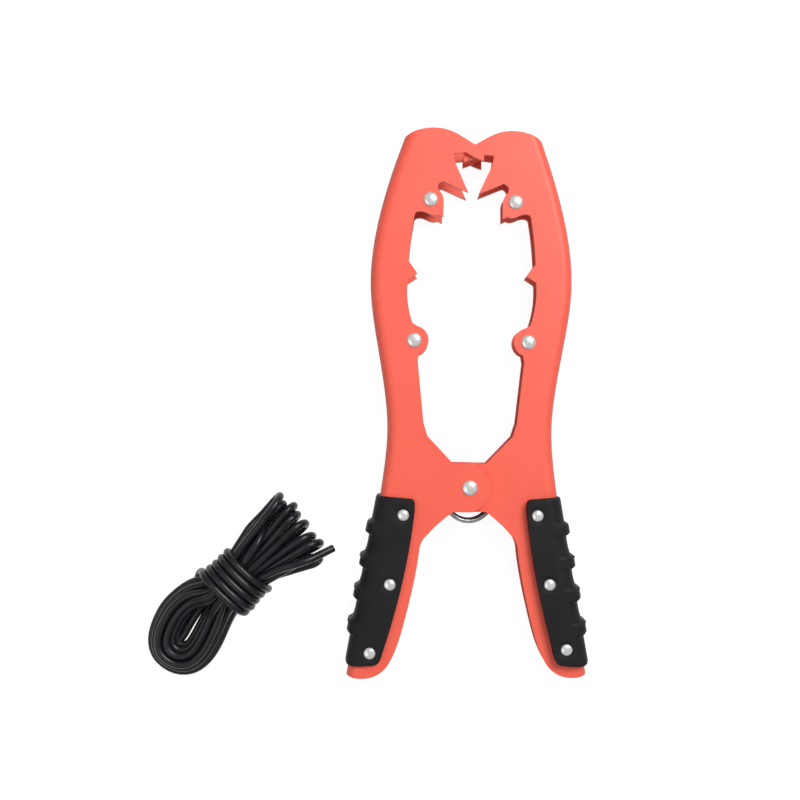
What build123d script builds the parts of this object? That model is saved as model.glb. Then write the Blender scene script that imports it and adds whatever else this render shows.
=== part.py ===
"""Spring-closed lip grip: two nested sheet-metal arms on one pivot, with grips, rivets, spring and tether.

Millimetres. The tool lies on its back with the jaws towards +Y and the front face towards +Z. The origin
is under the middle of the tool, level with the backs of the grips. Arm outlines are drawn about the
pivot, with x measured outwards from the centre line, and mirrored for the left arm.
"""

import os
from math import cos, radians, sin, tan

from build123d import *

os.makedirs("parts", exist_ok=True)

# --- driving sizes ---------------------------------------------------------------------------------
SHEET = 2.0  # steel sheet of both arms
BEND = 5.0  # outer radius of the folded edge
ARM_GAP = 0.6  # between the nested plates, each side
LEFT_DEPTH = 20.0  # outer channel, front to back
GRIP_WALL = 2.2  # rubber on the faces of the outer channel
LEFT_GRIP_WIDER = 1.2  # the outer channel's grip reaches further over its plates
JAW_TOP = 170.9  # crest above the pivot
HANDLE_BOTTOM = 90.0  # handle ends below the pivot
HUB_HALF = 11.5  # half height of the hub plates
EAR_REACH = 9.6  # how far each hub plate passes the pivot
RUNNING = 0.05  # radial clearance of everything that turns or is slipped on

# radii of the rivets and of what sits on them
PIVOT_SHANK = 2.5
PIVOT_HEAD = 3.75
PIVOT_SLEEVE = 3.7
PIVOT_WASHER = 7.0
PIVOT_BURR = 5.0
JAW_SHANK = 2.25
JAW_HEAD = 3.5
JAW_SPACER = 4.0
GRIP_SHANK = 1.6
GRIP_HEAD = 2.75
GRIP_SPACER = 3.0
GRIP_BURR = 3.6

END_PLAY = 0.1  # at each end of the sleeve and each face of the washers
BURR = 0.6  # thickness of the washers under the rivet tails
SINK_FLOOR = 0.6  # rubber left under a sunk rivet tail
SINK_RADIUS = 4.0
RIB_RADIUS = 6.0
RIB_INSET = 3.2

WIRE = 1.2  # radius of the spring wire
COIL_RADIUS = 10.4  # to the middle of the wire
COIL_DROP = 5.3  # the coil hangs on the sleeve, below the pivot
COIL_TURNS = 3
COIL_PITCH = 2.5
LEG_REACH = 42.2  # leg ends, from the centre line
LEG_LEAN = 48.7  # legs, from straight down

CORD = 3.8  # diameter of the tether
LOOP_HEIGHT = 13.0
FOLD_HEIGHT = 14.0
NECK_HEIGHT = 21.0
HANK_CENTRE = (-112.4, -86.8)
HANK_TURN = 45.5
NECK_PLACE = (-7.4, 0.0, NECK_HEIGHT / 2)  # in the hank

# --- heights, from the surface that the tool lies on ---------------------------------------------------
left_low = GRIP_WALL
left_high = left_low + LEFT_DEPTH
right_low = left_low + SHEET + ARM_GAP
right_high = left_high - SHEET - ARM_GAP
inside_low = right_low + SHEET
inside_high = right_high - SHEET
grip_depth = LEFT_DEPTH + 2 * GRIP_WALL
middle = grip_depth / 2
sink_depth = GRIP_WALL - SINK_FLOOR
pivot_y = (HANDLE_BOTTOM - JAW_TOP) / 2

UPWARDS = (Align.CENTER, Align.CENTER, Align.MIN)

# --- places about the pivot, on the right side ---------------------------------------------------------
upper_boss = (20.4, 136.7)
lower_boss = (27.3, 69.7)
left_grip_holes = [(31.3, -12.9), (37.2, -45.5), (46.2, -77.6)]
right_grip_holes = [(32.1, -12.7), (38.2, -45.1), (46.5, -75.7)]
RIBS = [(42.0, -19.0), (44.6, -34.4), (47.4, -49.8), (50.2, -65.2)]
CORD_END = [(30.6, -17.4, 13.4), (37.4, -20.4, 9.8), (44.4, -22.9, 6.4)]


def above(height):
    """The flat plane of the pivot at a height."""
    return Plane(origin=(0, pivot_y, height))


def placed(side, points, height):
    """Points about the pivot, on one side, as places in the part's frame."""
    return [(side * x, pivot_y + y, height) for x, y in points]


def outer_edge(inset):
    """Folded edge of an arm, from the crest down to the handle's end, moved inwards by inset."""
    stations = [
        (33.2, 166.6),
        (39.5, 148.0),
        (45.5, 125.0),
        (48.4, 95.0),
        (45.9, 74.0),
        (41.5, 48.6),
        (39.5, 27.0),
        (41.4, 4.0),
        (48.9, -42.0),
        (57.2, -88.6),
    ]
    return [(x - inset, y) for x, y in stations]


def arm_outline(side):
    """Flat outline of one arm's plates, teeth and hub ear included."""
    with BuildSketch() as outline:
        with BuildLine():
            # hub ear, hub top and the straight inner edge
            ThreePointArc((-1.0, -HUB_HALF), (-EAR_REACH, 0), (-1.0, HUB_HALF))
            Polyline((-1.0, HUB_HALF), (8.1, HUB_HALF), (20.4, 24.4))
            Polyline((20.4, 24.4), (22.4, 30.8), (25.5, 60.0), (24.9, 63.3))
            # lower boss
            ThreePointArc((24.9, 63.3), (20.5, 69.7), (25.9, 76.35))
            Line((25.9, 76.35), (28.3, 77.9))
            ThreePointArc((28.3, 77.9), (30.4, 86.4), (30.8, 98.3))
            # middle tooth
            Polyline((30.8, 98.3), (26.2, 101.3), (30.4, 107.2))
            ThreePointArc((30.4, 107.2), (29.7, 116.3), (27.9, 129.3))
            ThreePointArc((27.9, 129.3), (27.2, 130.5), (25.9, 130.9))
            # upper boss with its spur
            Spline((25.9, 130.9), (23.4, 130.7), (20.5, 129.5), (16.6, 129.6))
            Polyline((16.6, 129.6), (14.3, 128.4), (14.2, 135.0))
            ThreePointArc((14.2, 135.0), (14.7, 138.4), (16.2, 140.6))
            ThreePointArc((16.2, 140.6), (17.0, 143.1), (14.6, 145.4))
            # big tooth, then the beak that crosses the other arm's
            Polyline((14.6, 145.4), (2.6, 140.3), (9.0, 154.4), (9.7, 158.7), (4.0, 159.4))
            ThreePointArc((4.0, 159.4), (-0.3, 157.2), (-4.7, 155.6))
            Line((-4.7, 155.6), (-4.7, 159.8))
            ThreePointArc((-4.7, 159.8), (-2.6, 161.8), (0.0, 163.5))
            # crest
            Spline((0.0, 163.5), (6.0, 167.1), (12.0, 169.9), (18.3, JAW_TOP), (26.0, 169.9), (33.2, 166.6))
            # folded edge and the handle's rounded end
            Spline(*outer_edge(0))
            ThreePointArc((57.2, -88.6), (53.2, -89.8), (48.5, -HANDLE_BOTTOM))
            ThreePointArc((48.5, -HANDLE_BOTTOM), (41.5, -87.6), (37.0, -82.6))
            Spline((37.0, -82.6), (34.0, -76.2), (30.5, -64.6), (27.1, -50.4), (24.1, -34.2), (23.4, -28.4))
            ThreePointArc((23.4, -28.4), (22.8, -26.4), (21.6, -24.1))
            # lower edge of the hub
            Polyline((21.6, -24.1), (16.2, -18.3), (11.4, -14.1), (8.0, -HUB_HALF), (-1.0, -HUB_HALF))
        make_face()
        if side < 0:
            mirror(about=Plane.YZ, mode=Mode.REPLACE)
    return outline.sketch


def inside_fold(side, inset):
    """Flat shape of everything on the inner side of the fold, running past both ends of the arm."""
    edge = outer_edge(inset)
    beyond = 20.0
    with BuildSketch() as hollow:
        with BuildLine():
            Spline(*edge)
            Polyline(
                edge[0],
                (edge[0][0] - 5.0, edge[0][1] + beyond),
                (-beyond, edge[0][1] + beyond),
                (-beyond, edge[-1][1] - beyond),
                (edge[-1][0] + 3.6, edge[-1][1] - beyond),
                edge[-1],
            )
        make_face()
        if side < 0:
            mirror(about=Plane.YZ, mode=Mode.REPLACE)
    return hollow.sketch


def fold_space(side, inset, low, high):
    """Solid that fills the inner side of a fold, with the fold's own rounding."""
    with BuildPart() as space:
        add(above(low) * inside_fold(side, inset))
        extrude(amount=high - low)
        fillet(space.edges().filter_by(GeomType.BSPLINE), radius=BEND - inset)
    return space.part


def arm(side, low, high, grip_holes):
    """Folded channel arm with its rivet and pivot holes."""
    with BuildPart() as channel:
        add(above(low) * arm_outline(side))
        extrude(amount=high - low)
        fillet(channel.edges().filter_by(GeomType.BSPLINE).sort_by(SortBy.LENGTH)[-2:], radius=BEND)
        add(fold_space(side, SHEET, low + SHEET, high - SHEET), mode=Mode.SUBTRACT)
        for holes, radius in (
            ([(0, 0)], PIVOT_SHANK + RUNNING),
            ([upper_boss, lower_boss], JAW_SHANK + RUNNING),
            (grip_holes, GRIP_SHANK + RUNNING),
        ):
            with Locations(*placed(side, holes, low)):
                Cylinder(radius, high - low, align=UPWARDS, mode=Mode.SUBTRACT)
    return channel.part


def grip(side, low, high, grip_holes, wider):
    """Rubber sleeve over the handle's fold and faces, open towards the middle, with four ribs outside.

    It reaches further inwards by wider than the plain outline, and half as much further outwards at its top.
    """
    out = wider / 2
    with BuildPart() as sleeve:
        with BuildSketch(above(0)):
            with BuildLine():
                Spline((43.7 + out, -4.0), (50.5 + out, -42.0), (57.9, -81.9))
                Polyline((57.9, -81.9), (56.6, -84.0), (45.8, -83.8))
                ThreePointArc((45.8, -83.8), (42.4, -81.8), (40.9 - out, -78.0))
                ThreePointArc((40.9 - out, -78.0), (32.4 - wider, -44.3), (27.1 - wider, -9.0))
                ThreePointArc((27.1 - wider, -9.0), (28.0 - wider, -6.2), (30.5 - wider, -5.1))
                Line((30.5 - wider, -5.1), (43.7 + out, -4.0))
            make_face()
            if side < 0:
                mirror(about=Plane.YZ, mode=Mode.REPLACE)
        extrude(amount=grip_depth)
        fillet(sleeve.edges().filter_by(GeomType.BSPLINE), radius=BEND + GRIP_WALL)
        with Locations(*placed(side, RIBS, RIB_INSET)):
            Cylinder(RIB_RADIUS, grip_depth - 2 * RIB_INSET, align=UPWARDS)
        add(fold_space(side, -RUNNING, low - RUNNING, high + RUNNING), mode=Mode.SUBTRACT)
        with Locations(*placed(side, grip_holes, 0)):
            Cylinder(GRIP_SHANK + RUNNING, grip_depth, align=UPWARDS, mode=Mode.SUBTRACT)
            Cylinder(SINK_RADIUS, sink_depth, align=UPWARDS, mode=Mode.SUBTRACT)
    return sleeve.part


def rivet(low, high, shank, head, rise, tail):
    """Rivet along Z through a stack from low to high: domed head in front, flatter tail behind."""
    rim = 0.3 * rise
    dome = (head**2 + (rise - rim) ** 2) / (2 * (rise - rim))
    with BuildPart() as piece:
        with BuildSketch(Plane.XZ):
            with BuildLine():
                Polyline((0, low - tail), (0.7 * head, low - tail))
                ThreePointArc((0.7 * head, low - tail), (0.93 * head, low - 0.6 * tail), (head, low))
                Polyline((head, low), (shank, low), (shank, high), (head, high), (head, high + rim))
                RadiusArc((head, high + rim), (0, high + rise), -dome)
                Line((0, high + rise), (0, low - tail))
            make_face()
        revolve(axis=Axis.Z)
    return piece.part


def ring(outer, inner, low, high):
    """Tube or washer along Z."""
    with BuildPart() as piece:
        with BuildSketch(Plane.XY.offset(low)):
            Circle(outer)
            Circle(inner, mode=Mode.SUBTRACT)
        extrude(amount=high - low)
    return piece.part


def write(part, name):
    """Label a finished piece and write it under its node's name."""
    part.label = name
    export_step(part, f"parts/{name}.step")


# --- arms and grips ------------------------------------------------------------------------------------
with BuildPart() as left_arm:
    add(arm(-1, left_low, left_high, left_grip_holes))
write(left_arm.part, "left_arm")

with BuildPart() as right_arm:
    add(arm(1, right_low, right_high, right_grip_holes))
write(right_arm.part, "right_arm")

with BuildPart() as left_grip:
    add(grip(-1, left_low, left_high, left_grip_holes, LEFT_GRIP_WIDER))
write(left_grip.part, "left_grip")

with BuildPart() as right_grip:
    add(grip(1, right_low, right_high, right_grip_holes, 0.0))
write(right_grip.part, "right_grip")

# --- pivot ---------------------------------------------------------------------------------------------
with BuildPart() as pivot_rivet:
    with Locations((0, pivot_y, 0)):
        add(rivet(left_low - BURR, left_high, PIVOT_SHANK, PIVOT_HEAD, 1.6, 1.1))
write(pivot_rivet.part, "pivot_rivet")

with BuildPart() as pivot_burr:
    with Locations((0, pivot_y, 0)):
        add(ring(PIVOT_BURR, PIVOT_SHANK + RUNNING, left_low - BURR, left_low))
write(pivot_burr.part, "pivot_burr")

with BuildPart() as pivot_sleeve:
    with Locations((0, pivot_y, 0)):
        add(ring(PIVOT_SLEEVE, PIVOT_SHANK + RUNNING, inside_low + END_PLAY, inside_high - END_PLAY))
write(pivot_sleeve.part, "pivot_sleeve")

for name, gap_low in (("pivot_washer_back", left_low + SHEET), ("pivot_washer_front", right_high)):
    with BuildPart() as washer:
        with Locations((0, pivot_y, 0)):
            add(ring(PIVOT_WASHER, PIVOT_SHANK + RUNNING, gap_low + END_PLAY, gap_low + ARM_GAP - END_PLAY))
    write(washer.part, name)

# --- rivets and spacers of the jaws and handles --------------------------------------------------------
for hand, side, low, high, grip_holes in (
    ("left", -1, left_low, left_high, left_grip_holes),
    ("right", 1, right_low, right_high, right_grip_holes),
):
    for place, point in (("upper", upper_boss), ("lower", lower_boss)):
        with BuildPart() as jaw_rivet:
            with Locations(*placed(side, [point], 0)):
                add(rivet(low, high, JAW_SHANK, JAW_HEAD, 1.4, 1.3))
        write(jaw_rivet.part, f"{hand}_jaw_rivet_{place}")

        with BuildPart() as jaw_spacer:
            with Locations(*placed(side, [point], 0)):
                add(ring(JAW_SPACER, JAW_SHANK + RUNNING, low + SHEET, high - SHEET))
        write(jaw_spacer.part, f"{hand}_jaw_spacer_{place}")

    with BuildPart() as grip_rivets:
        with Locations(*placed(side, grip_holes, 0)):
            add(rivet(sink_depth - BURR, grip_depth, GRIP_SHANK, GRIP_HEAD, 1.2, 0.7))
    write(grip_rivets.part, f"{hand}_grip_rivets")

    with BuildPart() as grip_spacers:
        with Locations(*placed(side, grip_holes, 0)):
            add(ring(GRIP_SPACER, GRIP_SHANK + RUNNING, low + SHEET, high - SHEET))
    write(grip_spacers.part, f"{hand}_grip_spacers")

    with BuildPart() as grip_burrs:
        with Locations(*placed(side, grip_holes, 0)):
            add(ring(GRIP_BURR, GRIP_SHANK + RUNNING, sink_depth - BURR, sink_depth))
    write(grip_burrs.part, f"{hand}_grip_burrs")

# --- torsion spring ------------------------------------------------------------------------------------
# The wire comes up the left leg, clockwise round the coil and down the right leg, so that squeezing the
# handles winds it up. Both legs leave the coil along its tangent and push on the folds of the handles.
sweep_angle = 360 * COIL_TURNS + 180 - 2 * LEG_LEAN
coil_height = COIL_PITCH * sweep_angle / 360
coil_place = (0, pivot_y - COIL_DROP, middle - coil_height / 2)
leg_length = (LEG_REACH - COIL_RADIUS * cos(radians(LEG_LEAN))) / sin(radians(LEG_LEAN))
last = radians(-sweep_angle)
leg_starts = [
    Plane(origin=(COIL_RADIUS, 0, 0), z_dir=(0, 1, 0)),
    Plane(
        origin=(COIL_RADIUS * cos(last), COIL_RADIUS * sin(last), coil_height),
        z_dir=(sin(last), -cos(last), 0),
    ),
]
with BuildPart() as wire:
    with BuildLine() as coil:
        Helix(COIL_PITCH, coil_height, COIL_RADIUS, lefthand=True)
    with BuildSketch(Plane(origin=coil.line @ 0, z_dir=coil.line % 0)):
        Circle(WIRE)
    sweep(path=coil.line, is_frenet=True)
    for start in leg_starts:
        with BuildSketch(start):
            Circle(WIRE)
        extrude(amount=leg_length)
        with Locations(start.origin):
            Sphere(WIRE)

with BuildPart() as torsion_spring:
    with Locations(Location(coil_place, (0, 0, 180 - LEG_LEAN))):
        add(wire.part)
write(torsion_spring.part, "torsion_spring")

# --- tether, tied in a hank beside the tool ------------------------------------------------------------
# Across the hank: x runs from its loops to its folds, and the neck between them is bound by the cord.
hank = Plane(origin=(*HANK_CENTRE, 0), x_dir=(cos(radians(HANK_TURN)), sin(radians(HANK_TURN)), 0))
with BuildPart() as cord_hank:
    with BuildSketch(hank):
        with BuildLine():
            Spline(
                (-2.0, 9.5),
                (-18.4, 17.0),
                (-36.0, 16.0),
                (-50.0, 9.5),
                (-55.1, -3.2),
                (-48.0, -17.5),
                (-36.3, -20.1),
                (-20.0, -15.5),
                (-2.0, -9.5),
            )
            Line((-2.0, -9.5), (-2.0, 9.5))
        make_face()
    extrude(amount=LOOP_HEIGHT)
    with BuildSketch(hank):
        Polygon(
            (-2.0, -9.5),
            (17.3, -16.0),
            (36.1, -22.0),
            (43.5, -14.0),
            (46.2, 14.6),
            (37.5, 15.4),
            (20.0, 11.5),
            (-2.0, 9.5),
            align=None,
        )
    extrude(amount=FOLD_HEIGHT)
    with BuildSketch(Plane(origin=hank.from_local_coords(NECK_PLACE), x_dir=hank.y_dir, z_dir=hank.x_dir)):
        Ellipse(15.6, NECK_HEIGHT / 2)
    extrude(amount=15.8)
write(cord_hank.part, "cord_hank")

with BuildPart() as cord_end:
    with BuildLine() as route:
        stations = [hank.from_local_coords(point) for point in CORD_END]
        turn = (stations[1] - stations[0]).get_angle(stations[2] - stations[1])
        shorter = min((stations[1] - stations[0]).length, (stations[2] - stations[1]).length)
        radius = 0.45 * shorter / tan(radians(turn / 2))
        FilletPolyline(*stations, radius=radius)
    with BuildSketch(Plane(origin=route.line @ 0, z_dir=route.line % 0)):
        Circle(CORD / 2)
    sweep(path=route.line)
write(cord_end.part, "cord_end")
print("cord end radius", round(radius, 1))
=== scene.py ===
"""Looks of the lip grip: two coral sheet-metal arms with rubber grips, rivets, a spring and a tied tether.

Everything is in the frame of the CAD model. Sizes are in millimetres until a mesh is made, which is in
metres. Outlines are drawn about the pivot on the right side and mirrored for the left.
"""

from math import cos, radians, sin

import bmesh
import bpy
import numpy as np
from mathutils import Euler, Matrix, Vector


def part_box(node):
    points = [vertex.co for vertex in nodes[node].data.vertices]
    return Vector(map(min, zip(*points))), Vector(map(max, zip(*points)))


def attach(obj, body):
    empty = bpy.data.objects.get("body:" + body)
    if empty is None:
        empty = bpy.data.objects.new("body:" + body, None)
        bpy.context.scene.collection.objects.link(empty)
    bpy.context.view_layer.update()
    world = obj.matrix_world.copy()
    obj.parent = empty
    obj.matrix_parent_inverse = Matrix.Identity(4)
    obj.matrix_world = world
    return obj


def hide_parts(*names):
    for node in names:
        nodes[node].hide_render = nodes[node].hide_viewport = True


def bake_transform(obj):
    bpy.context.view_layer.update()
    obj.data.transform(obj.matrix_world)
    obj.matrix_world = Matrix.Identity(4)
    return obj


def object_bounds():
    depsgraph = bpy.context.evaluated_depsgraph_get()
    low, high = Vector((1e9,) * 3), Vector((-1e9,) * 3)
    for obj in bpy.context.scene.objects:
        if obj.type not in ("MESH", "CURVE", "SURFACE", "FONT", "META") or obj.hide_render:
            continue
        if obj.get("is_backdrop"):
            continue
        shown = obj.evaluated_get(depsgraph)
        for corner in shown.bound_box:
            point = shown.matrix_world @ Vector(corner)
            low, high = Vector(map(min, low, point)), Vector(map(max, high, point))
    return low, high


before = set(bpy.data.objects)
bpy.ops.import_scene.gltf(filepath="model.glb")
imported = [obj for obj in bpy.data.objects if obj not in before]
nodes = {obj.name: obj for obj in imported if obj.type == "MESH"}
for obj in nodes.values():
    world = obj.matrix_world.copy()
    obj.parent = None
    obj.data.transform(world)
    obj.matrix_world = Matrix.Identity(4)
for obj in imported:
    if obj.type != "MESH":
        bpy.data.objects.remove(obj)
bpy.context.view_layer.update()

MM = 0.001

# --- sizes shared with the CAD model -------------------------------------------------------------------
BEND = 5.0  # outer radius of an arm's folded edge
GRIP_WALL = 2.2
SINK_DEPTH = 1.6
SINK_RADIUS = 4.0
BURR = 0.6  # washer under a rivet's tail
CORD = 3.8  # diameter
left_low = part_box("left_arm")[0].z / MM
left_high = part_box("left_arm")[1].z / MM
right_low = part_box("right_arm")[0].z / MM
right_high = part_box("right_arm")[1].z / MM
grip_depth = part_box("right_grip")[1].z / MM
pivot_y = sum(corner.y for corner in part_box("pivot_rivet")) / 2 / MM
ARMS = {"left": (-1, "outer_arm", left_low, left_high), "right": (1, "inner_arm", right_low, right_high)}
GRIP_HOLES = {
    "left": [(31.3, -12.9), (37.2, -45.5), (46.2, -77.6)],
    "right": [(32.1, -12.7), (38.2, -45.1), (46.5, -75.7)],
}

# --- camera and light ----------------------------------------------------------------------------------
CAMERA_PLACE = (-31.8, -7.2, 524.3)
CAMERA_TURN = (0.912, -2.65, 0.76)  # degrees
CAMERA_LENS = 47.8
CAMERA_SHIFT = -0.066
KEY_POWER = 10.5
FILL_POWER = 1.6
SKY = 0.46
FLOOR_GLOW = 0.92


def make_camera():
    """Camera over the tool, a little to its left."""
    data = bpy.data.cameras.new("camera")
    data.lens = CAMERA_LENS
    data.sensor_width = 36.0
    data.shift_x = CAMERA_SHIFT
    data.clip_start = 0.01
    camera = bpy.data.objects.new("camera", data)
    camera.location = Vector(CAMERA_PLACE) * MM
    camera.rotation_euler = Euler([radians(turn) for turn in CAMERA_TURN], "XYZ")
    bpy.context.collection.objects.link(camera)
    bpy.context.scene.camera = camera


def area_light(name, place, size, power, target=(0.0, 0.0, 0.0)):
    """Soft box that faces a target."""
    data = bpy.data.lights.new(name, "AREA")
    data.shape = "RECTANGLE"
    data.size, data.size_y = size
    data.energy = power
    light = bpy.data.objects.new(name, data)
    light.location = place
    light.rotation_euler = (Vector(target) - Vector(place)).to_track_quat("-Z", "Y").to_euler()
    bpy.context.collection.objects.link(light)


def make_sky():
    """Even pale light from above that falls off below the horizon."""
    world = bpy.data.worlds.new("surround")
    world.use_nodes = True
    tree = world.node_tree
    place = tree.nodes.new("ShaderNodeTexCoord")
    split = tree.nodes.new("ShaderNodeSeparateXYZ")
    ramp = tree.nodes.new("ShaderNodeValToRGB")
    ramp.color_ramp.elements[0].position = 0.0
    ramp.color_ramp.elements[0].color = (0.02, 0.02, 0.02, 1.0)
    ramp.color_ramp.elements[1].position = 0.55
    ramp.color_ramp.elements[1].color = (1.0, 1.0, 1.0, 1.0)
    tree.links.new(place.outputs["Generated"], split.inputs[0])
    tree.links.new(split.outputs["Z"], ramp.inputs["Fac"])
    tree.links.new(ramp.outputs["Color"], tree.nodes["Background"].inputs["Color"])
    tree.nodes["Background"].inputs["Strength"].default_value = SKY
    bpy.context.scene.world = world


def make_floor():
    """White floor, lit enough from within to keep the shadows on it faint."""
    mesh = bpy.data.meshes.new("floor")
    reach = 3.0  # metres
    corners = [(-reach, -reach, 0), (reach, -reach, 0), (reach, reach, 0), (-reach, reach, 0)]
    mesh.from_pydata(corners, [], [(0, 1, 2, 3)])
    floor = bpy.data.objects.new("floor", mesh)
    bpy.context.collection.objects.link(floor)
    material = bpy.data.materials.new("floor")
    material.use_nodes = True
    shader = material.node_tree.nodes["Principled BSDF"]
    shader.inputs["Base Color"].default_value = (0.20, 0.20, 0.20, 1.0)
    shader.inputs["Roughness"].default_value = 1.0
    shader.inputs["Specular IOR Level"].default_value = 0.0
    shader.inputs["Emission Color"].default_value = (1.0, 1.0, 1.0, 1.0)
    shader.inputs["Emission Strength"].default_value = FLOOR_GLOW
    mesh.materials.append(material)
    floor.visible_diffuse = False
    floor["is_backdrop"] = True


make_camera()
make_sky()
make_floor()
area_light("key", (0.45, 0.55, 1.0), (0.6, 0.6), KEY_POWER)
area_light("fill", (-0.7, -0.35, 0.9), (0.8, 0.8), FILL_POWER)
bpy.context.scene.view_settings.view_transform = "Standard"


# --- materials -----------------------------------------------------------------------------------------
def link(tree, source, socket, node, name):
    """Join an output of one node to an input of another, by their names."""
    tree.links.new(source.outputs[socket], node.inputs[name])


def add_noise(tree, scale, detail=3.0, stretch=(1.0, 1.0, 1.0)):
    """Noise in the piece's own place, in metres; a stretch below 1 draws it out along that axis."""
    place = tree.nodes.new("ShaderNodeTexCoord")
    squeeze = tree.nodes.new("ShaderNodeMapping")
    squeeze.inputs["Scale"].default_value = stretch
    noise = tree.nodes.new("ShaderNodeTexNoise")
    noise.inputs["Scale"].default_value = scale
    noise.inputs["Detail"].default_value = detail
    link(tree, place, "Object", squeeze, "Vector")
    link(tree, squeeze, "Vector", noise, "Vector")
    return noise


def add_range(tree, noise, low, high, start=0.3, end=0.7):
    """Number that follows a noise between two limits."""
    ranged = tree.nodes.new("ShaderNodeMapRange")
    for name, value in (("From Min", start), ("From Max", end), ("To Min", low), ("To Max", high)):
        ranged.inputs[name].default_value = value
    link(tree, noise, "Fac", ranged, "Value")
    return ranged


def make_material(name, dark, light, rough, metal, patches, grain, relief, stretch=(1, 1, 1), shine=0.5):
    """Finish whose colour drifts from dark to light over patches, with a fine grain in relief and gloss.

    Patches and grain are scales per metre, relief is in millimetres and rough is the range of roughness.
    """
    material = bpy.data.materials.new(name)
    material.use_nodes = True
    tree = material.node_tree
    shader = tree.nodes["Principled BSDF"]
    shader.inputs["Metallic"].default_value = metal
    shader.inputs["Specular IOR Level"].default_value = shine

    drift = add_noise(tree, patches, 4.0, stretch)
    ramp = tree.nodes.new("ShaderNodeValToRGB")
    ramp.color_ramp.elements[0].position = 0.3
    ramp.color_ramp.elements[0].color = (*dark, 1.0)
    ramp.color_ramp.elements[1].position = 0.7
    ramp.color_ramp.elements[1].color = (*light, 1.0)
    link(tree, drift, "Fac", ramp, "Fac")
    link(tree, ramp, "Color", shader, "Base Color")

    fine = add_noise(tree, grain, 2.0, stretch)
    gloss = add_range(tree, fine, *rough)
    link(tree, gloss, "Result", shader, "Roughness")
    bump = tree.nodes.new("ShaderNodeBump")
    bump.inputs["Strength"].default_value = 1.0
    bump.inputs["Distance"].default_value = relief * MM
    link(tree, fine, "Fac", bump, "Height")
    link(tree, bump, "Normal", shader, "Normal")
    return material


coral = make_material(
    "coral_powder_coat",
    dark=(0.94, 0.117, 0.070),
    light=(0.97, 0.130, 0.080),
    rough=(0.40, 0.50),
    metal=0.0,
    patches=60.0,
    grain=1800.0,
    relief=0.02,
)
rubber = make_material(
    "grip_rubber",
    dark=(0.0050, 0.0045, 0.0058),
    light=(0.0085, 0.0075, 0.0095),
    rough=(0.50, 0.66),
    metal=0.0,
    patches=60.0,
    grain=3200.0,
    relief=0.05,
    shine=0.28,
)
bright = make_material(
    "bright_rivet",
    dark=(0.80, 0.80, 0.79),
    light=(0.92, 0.92, 0.91),
    rough=(0.16, 0.26),
    metal=0.65,
    patches=300.0,
    grain=1200.0,
    relief=0.006,
)
turned = make_material(
    "turned_steel",
    dark=(0.42, 0.42, 0.42),
    light=(0.56, 0.56, 0.55),
    rough=(0.25, 0.40),
    metal=1.0,
    patches=200.0,
    grain=2600.0,
    relief=0.008,
    stretch=(1, 1, 6),
)
zinc = make_material(
    "zinc_wire",
    dark=(0.34, 0.35, 0.34),
    light=(0.50, 0.51, 0.49),
    rough=(0.22, 0.36),
    metal=1.0,
    patches=260.0,
    grain=1500.0,
    relief=0.008,
    stretch=(1, 1, 3),
)
nylon = make_material(
    "nylon_washer",
    dark=(0.70, 0.69, 0.64),
    light=(0.78, 0.77, 0.72),
    rough=(0.38, 0.50),
    metal=0.0,
    patches=150.0,
    grain=1500.0,
    relief=0.006,
)
jacket = make_material(
    "cord_jacket",
    dark=(0.007, 0.008, 0.010),
    light=(0.013, 0.014, 0.018),
    rough=(0.22, 0.36),
    metal=0.0,
    patches=180.0,
    grain=900.0,
    relief=0.03,
    shine=0.36,
)


# --- mesh helpers --------------------------------------------------------------------------------------
def add_piece(name, mesh, material, sharp=35.0):
    """Object for a finished mesh, smooth except at edges sharper than an angle in degrees."""
    mesh.materials.append(material)
    mesh.shade_smooth()
    mesh.set_sharp_from_angle(angle=radians(sharp))
    piece = bpy.data.objects.new(name, mesh)
    bpy.context.collection.objects.link(piece)
    return piece


def mesh_from(name, points, faces):
    """Mesh in metres from points in millimetres, with its faces turned outwards."""
    mesh = bpy.data.meshes.new(name)
    mesh.from_pydata([tuple(float(x) * MM for x in point) for point in points], [], faces)
    shell = bmesh.new()
    shell.from_mesh(mesh)
    bmesh.ops.recalc_face_normals(shell, faces=shell.faces)
    shell.to_mesh(mesh)
    shell.free()
    return mesh


def grid_faces(rows, columns, first=0, closed=False):
    """Quads between the points of a grid, closed round its columns if asked."""
    faces = []
    for row in range(rows - 1):
        for column in range(columns if closed else columns - 1):
            beside = (column + 1) % columns
            here = first + row * columns
            faces.append((here + column, here + beside, here + columns + beside, here + columns + column))
    return faces


def lathe(profile, places, sides=48):
    """Points and faces of a (radius, height) profile, ends on its axis, turned about Z at each place."""
    points = []
    faces = []
    for x, y in places:
        first = len(points)
        points.append((x, y, profile[0][1]))
        for radius, height in profile[1:-1]:
            for side in range(sides):
                angle = radians(360 * side / sides)
                points.append((x + radius * cos(angle), y + radius * sin(angle), height))
        points.append((x, y, profile[-1][1]))
        rings = len(profile) - 2
        faces += grid_faces(rings, sides, first + 1, closed=True)
        last = first + 1 + (rings - 1) * sides
        for side in range(sides):
            beside = (side + 1) % sides
            faces.append((first, first + 1 + beside, first + 1 + side))
            faces.append((last + side, last + beside, len(points) - 1))
    return points, faces


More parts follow.
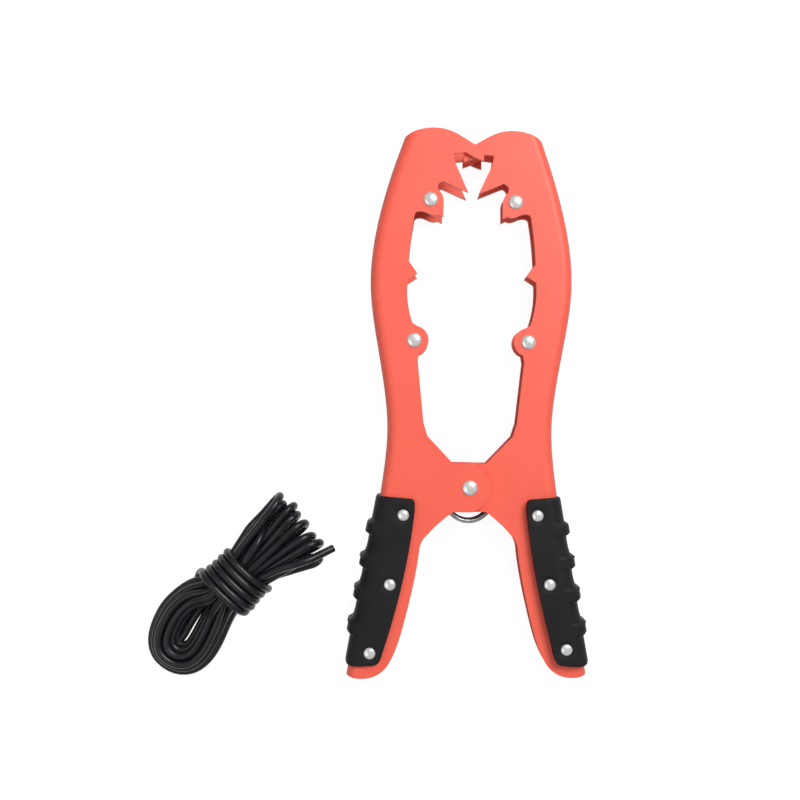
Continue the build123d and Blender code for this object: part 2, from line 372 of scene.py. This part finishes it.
def tube(path, radius, sides=16):
    """Points and faces of a round wire along a path, with rounded ends."""
    path = np.array(path, float)
    ahead = np.gradient(path, axis=0)
    ahead /= np.linalg.norm(ahead, axis=1)[:, None]
    up = np.array([0.0, 0.0, 1.0])
    widths = np.ones(len(path))
    widths[[0, -1]] = 0.55
    points = []
    for place, heading, width in zip(path, ahead, widths):
        across = np.cross(heading, up)
        across /= np.linalg.norm(across)
        rise = np.cross(across, heading)
        for side in range(sides):
            angle = radians(360 * side / sides)
            points.append(place + width * radius * (cos(angle) * across + sin(angle) * rise))
    faces = grid_faces(len(path), sides, closed=True)
    faces.append(tuple(range(sides)))
    faces.append(tuple(range(len(points) - sides, len(points))))
    return points, faces


# --- sheet-metal arms and small turned parts ------------------------------------------------------------
def soften(node, width, segments=2):
    """Round the sharp edges of a CAD node a little, and shade it evenly."""
    piece = nodes[node]
    weld = piece.modifiers.new("weld", "WELD")
    weld.merge_threshold = 0.002 * MM
    flat = piece.modifiers.new("flat", "DECIMATE")
    flat.decimate_type = "DISSOLVE"
    flat.angle_limit = radians(0.5)
    bevel = piece.modifiers.new("bevel", "BEVEL")
    bevel.width = width * MM
    bevel.segments = segments
    bevel.limit_method = "ANGLE"
    bevel.angle_limit = radians(40)
    bevel.harden_normals = False
    even = piece.modifiers.new("even", "WEIGHTED_NORMAL")
    even.keep_sharp = True


def finish_node(node, material):
    """Give a CAD node its finish."""
    mesh = nodes[node].data
    mesh.materials.clear()
    mesh.materials.append(material)


for hand in ARMS:
    soften(f"{hand}_arm", 0.3)
    finish_node(f"{hand}_arm", coral)
    for place in ("upper", "lower"):
        soften(f"{hand}_jaw_spacer_{place}", 0.15)
        finish_node(f"{hand}_jaw_spacer_{place}", turned)
    soften(f"{hand}_grip_spacers", 0.15)
    finish_node(f"{hand}_grip_spacers", turned)
    soften(f"{hand}_grip_burrs", 0.12)
    finish_node(f"{hand}_grip_burrs", bright)
soften("pivot_sleeve", 0.15)
finish_node("pivot_sleeve", turned)
soften("pivot_burr", 0.12)
finish_node("pivot_burr", bright)
for name in ("pivot_washer_back", "pivot_washer_front"):
    soften(name, 0.08)
    finish_node(name, nylon)


# --- rubber grips --------------------------------------------------------------------------------------
LEFT_GRIP_WIDER = 1.2  # the left grip reaches further over its plates
RIB_CENTRES = (-18.9, -34.5, -49.5, -65.3)
RIB_TOP = 1.9  # half length of a rib's flat top
RIB_FOOT = 3.7  # half length of its foot
RIB_RISE = 1.9
RIB_REACH = 5.0  # how far a rib runs onto the faces
VALLEY = 0.35  # hollow between two ribs
SCALLOP = 0.6  # how much higher that hollow ends than it starts
DIMPLE = 0.3
RIM = 0.8  # rounding of the rubber's edges
DIMPLE_START = 2.6  # the dimple round a rivet, from its middle
DIMPLE_WIDTH = 2.2
SIDE_WALL = (1.5, 0.3)  # rubber outside the fold: at the top, and what the bottom adds
ROWS = 150
FLAT_COLUMNS = 16
CORNER_STEPS = 8
SIDE_STEPS = 6


def parabola(points, y):
    """x at y on the parabola through three points."""
    (x0, y0), (x1, y1), (x2, y2) = points
    return (
        x0 * (y - y1) * (y - y2) / ((y0 - y1) * (y0 - y2))
        + x1 * (y - y0) * (y - y2) / ((y1 - y0) * (y1 - y2))
        + x2 * (y - y0) * (y - y1) / ((y2 - y0) * (y2 - y1))
    )


def rounded(points, rounds=3):
    """Line through points with its corners cut off, the ends kept."""
    line = np.array(points, float)
    for _ in range(rounds):
        cuts = np.stack([0.75 * line[:-1] + 0.25 * line[1:], 0.25 * line[:-1] + 0.75 * line[1:]], 1)
        line = np.vstack([line[:1], cuts.reshape(-1, line.shape[1]), line[-1:]])
    return line


def lengths(line):
    """How far along a line each of its points is."""
    return np.concatenate([[0.0], np.cumsum(np.linalg.norm(np.diff(line, axis=0), axis=1))])


def at_length(line, places):
    """Points of a line at distances along it."""
    far = lengths(line)
    return np.stack([np.interp(places, far, line[:, axis]) for axis in range(line.shape[1])], 1)


def smooth_step(value):
    """Smooth rise from 0 to 1 as the value does."""
    value = np.clip(value, 0.0, 1.0)
    return value * value * (3 - 2 * value)


def rib_height(y):
    """Relief of the finger ribs and of the hollows between them, along the handle."""
    height = 0.0
    for centre in RIB_CENTRES:
        height += RIB_RISE * (1 - smooth_step((abs(y - centre) - RIB_TOP) / (RIB_FOOT - RIB_TOP)))
    for above, below in zip(RIB_CENTRES, RIB_CENTRES[1:]):
        along = (above - RIB_TOP - y) / (above - below - 2 * RIB_TOP)
        if 0 < along < 1:
            height += SCALLOP * along * along - VALLEY * sin(radians(180 * along))
    return height


def rim_drop(distance):
    """How far a surface falls away at a distance from its rounded rim."""
    short = max(RIM - distance, 0.0)
    return RIM - (RIM * RIM - short * short) ** 0.5


def grip_outline(wider):
    """The grip's outer and inner edge, its top and its bottom; wider widens the plain outline."""
    out = wider / 2
    outside = [(43.7 + out, -4.0), (50.5 + out, -42.0), (57.9, -81.9)]
    inside = [(27.1 - wider, -10.4), (32.4 - wider, -44.3), (40.5 - out, -76.6)]
    top = [inside[0], (27.2 - wider, -5.4), (31.4 - wider, -5.1), outside[0]]
    bottom = [inside[-1], (41.8, -83.2), (47.2, -83.8), (56.8, -84.2), outside[-1]]
    return outside, inside, rounded(top), rounded(bottom)


def grip_plan(outline, share, row):
    """Place in the grip's outline: share runs from the inner to the outer edge, row from top to bottom."""
    outside, inside, top, bottom = outline
    inside_y = inside[0][1] + row * (inside[2][1] - inside[0][1])
    outside_y = outside[0][1] + row * (outside[2][1] - outside[0][1])
    left = np.array([parabola(inside, inside_y), inside_y])
    right = np.array([parabola(outside, outside_y), outside_y])
    above = at_length(top, [share * lengths(top)[-1]])[0]
    below = at_length(bottom, [share * lengths(bottom)[-1]])[0]
    corners = (1 - share) * ((1 - row) * top[0] + row * bottom[0])
    corners = corners + share * ((1 - row) * top[-1] + row * bottom[-1])
    return (1 - share) * left + share * right + (1 - row) * above + row * below - corners


def grip_section(width, edge, corner, low, high):
    """Section of a U about the handle, from the front rim round the fold to the back rim.

    Each entry is (share across the outline, height, normal across, normal up). The fold stands back from
    the outline's outer edge by edge.
    """
    reach = width - edge - corner
    shares = np.concatenate([[0.0, 0.1, 0.3, RIM], np.linspace(RIM, reach, FLAT_COLUMNS)[1:]])
    front = [(distance / width, high, 0.0, 1.0) for distance in shares]
    for step in range(1, CORNER_STEPS + 1):
        angle = radians(90 * step / CORNER_STEPS)
        share = (reach + corner * sin(angle)) / width
        front.append((share, high - corner * (1 - cos(angle)), sin(angle), cos(angle)))
    heights = np.linspace(high - corner, low + corner, SIDE_STEPS)[1:-1]
    side = [((width - edge) / width, z, 1.0, 0.0) for z in heights]
    back = [(share, low + high - z, across, -up) for share, z, across, up in front[::-1]]
    return front + side + back


def make_grip(hand):
    """Moulded rubber sleeve over a handle, with finger ribs and sunk rivet holes at the back."""
    side, body, low, high = ARMS[hand]
    outline = grip_outline(LEFT_GRIP_WIDER if hand == "left" else 0.0)
    handle = outline[0][0][1] - outline[0][2][1]
    ends = np.array([0.0, 0.1, 0.3, 0.55])
    offsets = np.concatenate([ends, np.linspace(RIM, handle - RIM, ROWS), handle - ends[::-1]])
    outer = []
    inner = []
    for offset in offsets:
        row = offset / handle
        inside = grip_plan(outline, 0.0, row)
        outside = grip_plan(outline, 1.0, row)
        width = float(np.linalg.norm(outside - inside))
        wall = SIDE_WALL[0] + SIDE_WALL[1] * row
        ribs = rib_height(outside[1])
        end_drop = rim_drop(min(offset, handle - offset))
        for share, z, across, up in grip_section(width, 0.0, BEND + GRIP_WALL, 0.0, grip_depth):
            x, y = grip_plan(outline, share, row)
            from_edge = width * (1 - share)
            relief = ribs * (smooth_step(1 - from_edge / RIB_REACH) if up else 1.0)
            relief -= end_drop + rim_drop(width * share)
            if up > 0.99:
                nearest = min(np.hypot(x - hole_x, y - hole_y) for hole_x, hole_y in GRIP_HOLES[hand])
                relief -= DIMPLE * (1 - smooth_step((nearest - DIMPLE_START) / DIMPLE_WIDTH))
            outer.append((side * (x + across * relief), pivot_y + y, z + up * relief))
        for share, z, across, up in grip_section(width, wall, BEND, low, high):
            x, y = grip_plan(outline, share, row)
            outer_rim = 0.35 * rim_drop(width * share)
            inner.append((side * x, pivot_y + y, z + up * (0.04 - outer_rim)))
    columns = len(outer) // len(offsets)
    rows = len(offsets)
    count = rows * columns
    faces = grid_faces(rows, columns) + grid_faces(rows, columns, count)
    for row in range(rows - 1):
        for column in (0, columns - 1):
            here = row * columns + column
            faces.append((here, here + columns, here + columns + count, here + count))
    for row in (0, rows - 1):
        for column in range(columns - 1):
            here = row * columns + column
            faces.append((here, here + 1, here + 1 + count, here + count))
    mesh = mesh_from(f"{hand}_grip_rubber", outer + inner, faces)
    piece = add_piece(f"{hand}_grip_rubber", mesh, rubber, sharp=50.0)
    sink = [(0.0, -2.0), (SINK_RADIUS, -2.0), (SINK_RADIUS, SINK_DEPTH), (0.0, SINK_DEPTH)]
    holes = [(side * x, pivot_y + y) for x, y in GRIP_HOLES[hand]]
    cutter = add_piece("sink_cutter", mesh_from("sink", *lathe(sink, holes)), rubber)
    carve(piece, cutter)
    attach(piece, body)
    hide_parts(f"{hand}_grip")


def carve(piece, cutter):
    """Cut one piece out of another for good."""
    cut = piece.modifiers.new("cut", "BOOLEAN")
    cut.operation = "DIFFERENCE"
    cut.solver = "EXACT"
    cut.object = cutter
    bpy.context.view_layer.update()
    carved = bpy.data.meshes.new_from_object(piece.evaluated_get(bpy.context.evaluated_depsgraph_get()))
    piece.modifiers.clear()
    piece.data = carved
    bpy.data.objects.remove(cutter)


for hand in ARMS:
    make_grip(hand)


# --- rivets --------------------------------------------------------------------------------------------
def rivet_profile(low, high, shank, head, rise, tail):
    """Domed head in front and a rolled tail with a sunk middle behind, drawn from front to back."""
    rim = 0.28 * rise
    dome_edge = radians(78)
    profile = [(0.0, high + rise)]
    for step in range(1, 9):
        angle = dome_edge * step / 8
        crown = (cos(angle) - cos(dome_edge)) / (1 - cos(dome_edge))
        profile.append((0.965 * head * sin(angle) / sin(dome_edge), high + rim + (rise - rim) * crown))
    profile += [(head, high + 0.16 * rise), (head, high + 0.05 * rise), (0.98 * head, high)]
    profile += [(shank, high), (shank, low), (0.93 * head, low), (0.97 * head, low - 0.3 * tail)]
    profile += [(0.9 * head, low - 0.75 * tail), (0.75 * head, low - tail), (0.6 * head, low - 0.9 * tail)]
    profile += [(0.48 * head, low - 0.5 * tail), (0.3 * head, low - 0.32 * tail), (0.0, low - 0.3 * tail)]
    return profile


def make_rivets(node, body, places, *sizes):
    """Rivets that stand for one CAD node."""
    piece = add_piece(f"{node}_turned", mesh_from(node, *lathe(rivet_profile(*sizes), places)), bright)
    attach(piece, body)
    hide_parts(node)


def middle_of(node):
    """Place of a CAD node's middle seen from the front."""
    low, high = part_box(node)
    return [((low.x + high.x) / 2 / MM, (low.y + high.y) / 2 / MM)]


# each kind of rivet: radius of its shank and of its head, how far the head stands up and the tail sticks out
PIVOT_RIVET = (2.5, 3.75, 1.6, 1.1)
JAW_RIVET = (2.25, 3.5, 1.4, 1.3)
GRIP_RIVET = (1.6, 2.75, 1.2, 0.7)

make_rivets("pivot_rivet", "outer_arm", middle_of("pivot_rivet"), left_low - BURR, left_high, *PIVOT_RIVET)
for hand, (side, body, low, high) in ARMS.items():
    for place in ("upper", "lower"):
        rivet = f"{hand}_jaw_rivet_{place}"
        make_rivets(rivet, body, middle_of(rivet), low, high, *JAW_RIVET)
    holes = [(side * x, pivot_y + y) for x, y in GRIP_HOLES[hand]]
    make_rivets(f"{hand}_grip_rivets", body, holes, SINK_DEPTH - BURR, grip_depth, *GRIP_RIVET)


# --- torsion spring ------------------------------------------------------------------------------------
WIRE = 1.2
COIL_TURNS = 3
COIL_RADIUS = 10.4
COIL_DROP = 5.3
COIL_BULGE = 0.8  # how much wider the middle turns are than the end ones
COIL_PITCH = 2.5
LEG_LEAN = 48.7  # degrees from straight down
LEG_REACH = 42.2


def make_spring():
    """Wire up the left leg, clockwise round the coil and down the right leg."""
    turned_by = 360 * COIL_TURNS + 180 - 2 * LEG_LEAN
    steps = int(turned_by / 6)
    rise = COIL_PITCH * turned_by / 360
    leg = (LEG_REACH - COIL_RADIUS * cos(radians(LEG_LEAN))) / sin(radians(LEG_LEAN))
    path = [(COIL_RADIUS, y, 0.0) for y in np.linspace(leg, 3.0, 16)]
    for step in range(steps + 1):
        share = step / steps
        angle = radians(-turned_by * share)
        radius = COIL_RADIUS + COIL_BULGE * sin(radians(180 * share))
        path.append((radius * cos(angle), radius * sin(angle), rise * share))
    last = radians(-turned_by)
    for far in np.linspace(3.0, leg, 16):
        x = COIL_RADIUS * cos(last) + far * sin(last)
        y = COIL_RADIUS * sin(last) - far * cos(last)
        path.append((x, y, rise))
    low = (left_low + left_high - rise) / 2
    turn = Matrix.Rotation(radians(180 - LEG_LEAN), 4, "Z")
    place = Matrix.Translation((0.0, pivot_y - COIL_DROP, low)) @ turn
    mesh = mesh_from("spring", *tube([place @ Vector(point) for point in path], WIRE))
    piece = add_piece("torsion_spring_wire", mesh, zinc)
    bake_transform(piece)
    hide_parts("torsion_spring")


make_spring()

# --- tether --------------------------------------------------------------------------------------------
# Places in the hank are (u, v, height): u runs from its loops to its folds, v across it.
HANK_CENTRE = (-112.4, -86.8)
HANK_TURN = 45.5
CORD_END = [(44.4, -22.9, 6.4), (37.4, -20.4, 9.8), (30.6, -17.4, 13.4)]
CORD_ENTRY = [(22.0, -12.6, 14.6), (12.0, -8.8, 13.4)]
OUTER_LOOP = [
    (-9.0, 9.6),
    (-18.4, 15.1),
    (-30.4, 15.1),
    (-41.0, 12.1),
    (-48.1, 8.0),
    (-52.4, 2.6),
    (-53.2, -3.2),
    (-52.0, -9.4),
    (-49.0, -14.2),
    (-44.1, -17.4),
    (-36.5, -18.2),
    (-27.2, -16.0),
    (-16.2, -12.3),
    (-9.0, -10.0),
]
# each loop: how far it lies inside the outermost one, its height, and its (v, height) in the neck on the
# right and on the left
LOOPS = [
    (1.95, 5.2, (-7.6, 12.3), (7.6, 12.3)),
    (0.0, 1.9, (-9.5, 9.0), (9.5, 9.0)),
    (3.9, 1.9, (-7.6, 5.7), (7.6, 5.7)),
    (5.85, 5.2, (-5.7, 9.0), (5.7, 9.0)),
    (7.8, 1.9, (-3.8, 5.7), (3.8, 5.7)),
    (3.9, 8.5, (-3.8, 12.3), (3.8, 12.3)),
    (11.4, 1.9, (0.0, 5.7), (1.9, 9.0)),
    (9.8, 5.2, (-1.9, 9.0), (0.0, 12.3)),
    (7.8, 8.5, (-1.9, 15.6), (1.9, 15.6)),
]
# each fold between two loops: its tip's u, its lower leg's v, how far its upper leg leans over, its height
FOLDS = [
    (46.4, 13.4, -2.4, 13.6),
    (38.0, -22.0, 4.4, 9.8),
    (44.2, 8.4, 1.6, 13.6),
    (43.8, -16.0, 3.0, 13.6),
    (47.4, 4.4, 1.4, 13.6),
    (43.6, -11.2, 2.8, 13.6),
    (45.6, 0.4, 1.4, 13.6),
    (45.4, -5.6, 3.0, 13.6),
]
FOLD_LOW = 1.9
NECK_EDGE = 5.0  # where the folds start to spread
# the short fold on top, then back under the neck to where the wraps start
TOP_FOLD = [
    (14.0, 3.0, 17.0),
    (20.0, 3.8, 16.9),
    (25.2, 5.4, 15.0),
    (27.4, 7.0, 11.4),
    (25.2, 8.6, 7.8),
    (20.0, 9.2, 6.0),
    (12.0, 8.4, 5.2),
    (4.0, 6.6, 4.6),
    (-4.0, 4.0, 3.4),
    (-10.0, 2.0, 2.4),
    (-15.0, 3.2, 1.9),
    (-16.6, 8.0, 1.9),
    (-13.8, 12.2, 2.6),
    (-9.2, 13.8, 6.0),
]
# each wrap's place on the left and on the right of the neck
WRAPS = [
    ((-7.5, 12.5), (-5.8, -15.2)),
    ((-3.7, 11.8), (-2.0, -15.2)),
    ((0.1, 11.4), (1.7, -15.0)),
    ((3.9, 11.2), (5.4, -14.7)),
    ((8.0, 11.2), (7.4, -13.2)),
]
WRAP_LOW = 1.9
WRAP_HIGH = 19.4
WRAP_SQUARENESS = 0.8
# the last wrap's end, tucked under the neck and into the eye of the loops
TAIL = [
    (7.8, -12.6, 6.2),
    (6.4, -9.6, 2.6),
    (2.0, -6.0, 1.9),
    (-4.5, -2.4, 1.9),
    (-11.0, 1.2, 1.9),
    (-18.0, 3.4, 1.9),
    (-24.5, 3.3, 1.9),
    (-31.0, 1.0, 1.9),
    (-37.0, -0.8, 1.9),
    (-43.0, -1.9, 1.9),
]
CORD_STEP = 2.5  # between the points that settle
SETTLE_ROUNDS = 260
WRAP_FREEDOM = 0.15  # how easily a pulled-tight wrap moves, next to a loose turn
HOME_PULL = np.array([0.02, 0.02, 0.004])  # towards where it was laid, each round
HOME_BEND = 0.97  # share of the laid bends that is kept
SPRINGINESS = 0.25
SINK = 0.02  # each round
BESIDE = 4  # points this near along the cord never push each other


def loop_points(inset, height, left, right):
    """One loop, from its left slot in the neck round to its right one."""
    edge = np.array(OUTER_LOOP)
    ahead = np.gradient(edge, axis=0)
    ahead /= np.linalg.norm(ahead, axis=1)[:, None]
    edge = edge + inset * np.stack([-ahead[:, 1], ahead[:, 0]], 1)
    points = np.column_stack([edge, np.full(len(edge), height)])
    for end, near, slot in ((0, 1, left), (-1, -2, right)):
        points[end, 1:] += 0.75 * (np.array(slot) - points[end, 1:])
        points[near, 1:] += 0.2 * (np.array(slot) - points[near, 1:])
    return [tuple(point) for point in points]


def fold_leg(slot, turn_starts, side, height):
    """One leg of a fold, from its slot in the neck to where the fold turns."""
    slope = (side - slot[0]) / (turn_starts - NECK_EDGE)
    return [
        (14.0, slot[0] + slope * (14.0 - NECK_EDGE), 0.8 * slot[1] + 0.2 * height),
        (25.0, slot[0] + slope * (25.0 - NECK_EDGE), 0.35 * slot[1] + 0.65 * height),
        (turn_starts - 2.0, side - 2.0 * slope, height),
    ]


def fold_points(first, second, tip, side, lean, high):
    """Upright fold that leaves the neck at its first slot and comes back to its second."""
    falls = first[1] >= second[1]
    heights = (high, FOLD_LOW) if falls else (FOLD_LOW, high)
    leans = (lean, 0.0) if falls else (0.0, lean)
    radius = (high - FOLD_LOW) / 2
    turn_starts = tip - CORD / 2 - radius
    slope = (side - (first[0] + second[0]) / 2) / (turn_starts - NECK_EDGE)
    turn = []
    for angle in (90, 45, 0, -45, -90):
        rise = sin(radians(angle)) * (1 if falls else -1)
        out = radius * cos(radians(angle))
        across = side + slope * out + lean * (rise + 1) / 2
        turn.append((turn_starts + out, across, FOLD_LOW + radius + radius * rise))
    leg = fold_leg(first, turn_starts, side + leans[0], heights[0])
    return leg + turn + fold_leg(second, turn_starts, side + leans[1], heights[1])[::-1]


def half_wrap(start, end, up):
    """Half a turn round the neck, over the top if up is 1 and underneath if it is -1."""
    middle = (WRAP_LOW + WRAP_HIGH) / 2
    half = (WRAP_HIGH - WRAP_LOW) / 2
    points = []
    for angle in range(0, 180, 20):
        across = np.copysign(abs(cos(radians(angle))) ** WRAP_SQUARENESS, cos(radians(angle)))
        u = start[0] + angle / 180 * (end[0] - start[0])
        v = (start[1] + end[1]) / 2 + across * (start[1] - end[1]) / 2
        points.append((u, v, middle + up * half * sin(radians(angle)) ** WRAP_SQUARENESS))
    return points


def hank_route():
    """The cord's whole way through the hank, and where its wraps start and stop in that list."""
    points = CORD_END + CORD_ENTRY
    outward = True
    for number, (inset, height, right, left) in enumerate(LOOPS):
        turn = loop_points(inset, height, left, right)
        start, end = (right, left) if outward else (left, right)
        points += [(NECK_EDGE, *start), (-NECK_EDGE, *start)]
        points += turn[::-1] if outward else turn
        points += [(-NECK_EDGE, *end), (NECK_EDGE, *end)]
        outward = not outward
        if number < len(FOLDS):
            following = LOOPS[number + 1][2 if outward else 3]
            points += fold_points(end, following, *FOLDS[number])
    points += TOP_FOLD
    wraps_start = len(points)
    for number, (left, right) in enumerate(WRAPS):
        points += half_wrap(left, right, 1)
        if number + 1 < len(WRAPS):
            points += half_wrap(right, WRAPS[number + 1][0], -1)
    wraps_stop = len(points)
    return points + TAIL, wraps_start, wraps_stop


def evened(points, step):
    """Smooth line through points, as points a step apart."""
    points = np.array(points, float)
    knots = np.vstack([2 * points[0] - points[1], points, 2 * points[-1] - points[-2]])
    t = np.linspace(0, 1, 16, endpoint=False)[:, None]
    runs = [
        (2 * b + (c - a) * t + (2 * a - 5 * b + 4 * c - d) * t**2 + (3 * b - a - 3 * c + d) * t**3) / 2
        for a, b, c, d in zip(knots, knots[1:], knots[2:], knots[3:])
    ]
    line = np.vstack(runs + [points[-1:]])
    long = lengths(line)[-1]
    return at_length(line, np.linspace(0, long, round(long / step) + 1))


def bent(line):
    """How far each point is from the middle of its neighbours."""
    out = np.zeros_like(line)
    out[1:-1] = (line[:-2] + line[2:]) / 2 - line[1:-1]
    return out


def settle(home, freedom):
    """Let the cord's turns push each other apart and sink onto each other, near where they were laid."""
    line = home.copy()
    rest = np.linalg.norm(np.diff(line, axis=0), axis=1)
    order = np.arange(len(line))
    beside = np.abs(order[:, None] - order) <= BESIDE
    share = freedom[:, None] / (freedom[:, None] + freedom)
    pull = HOME_PULL * freedom[:, None]
    home_bend = HOME_BEND * bent(home)
    for _ in range(SETTLE_ROUNDS):
        apart = line[:, None] - line
        far = np.sqrt((apart**2).sum(2)) + 1e-9
        deep = np.where((far < CORD) & ~beside, CORD - far, 0)
        push = (apart / far[:, :, None] * (deep * share / 2)[:, :, None]).sum(1)
        line += push / np.sqrt(np.maximum((deep > 0).sum(1), 1))[:, None]
        line += (home - line) * pull
        line[:, 2] -= SINK * freedom
        line += SPRINGINESS * (bent(line) - home_bend)
        for first in (0, 1):
            here = np.arange(first, len(line) - 1, 2)
            run = line[here + 1] - line[here]
            long = np.linalg.norm(run, axis=1)
            slip = run * ((long - rest[here]) / long / 2)[:, None]
            line[here] += slip
            line[here + 1] -= slip
        line[:, 2] = line[:, 2].clip(CORD / 2)
    return line


def make_tether():
    """The tied hank as one length of cord."""
    route, wraps_start, wraps_stop = hank_route()
    line = evened(route, CORD_STEP)

    def nearest(place):
        return int(np.argmin(np.linalg.norm(line - np.array(place), axis=1)))

    freedom = np.ones(len(line))
    freedom[nearest(route[wraps_start]) : nearest(route[wraps_stop])] = WRAP_FREEDOM
    settled = settle(line, freedom)[nearest(CORD_ENTRY[0]) :: 2]
    hank = Matrix.Translation((*HANK_CENTRE, 0.0)) @ Matrix.Rotation(radians(HANK_TURN), 4, "Z")
    places = [hank @ Vector(point) * MM for point in CORD_END + [tuple(point) for point in settled]]

    curve = bpy.data.curves.new("tether_cord", "CURVE")
    curve.dimensions = "3D"
    spline = curve.splines.new("NURBS")
    spline.points.add(len(places) - 1)
    for point, place in zip(spline.points, places):
        point.co = (*place, 1.0)
    spline.order_u = 3
    spline.use_endpoint_u = True
    curve.resolution_u = 4
    curve.bevel_depth = CORD / 2 * MM
    curve.bevel_resolution = 4
    curve.use_fill_caps = True
    curve.materials.append(jacket)
    piece = bpy.data.objects.new("tether_cord", curve)
    bpy.context.collection.objects.link(piece)
    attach(piece, "tether")
    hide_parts("cord_hank", "cord_end")


make_tether()

low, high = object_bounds()
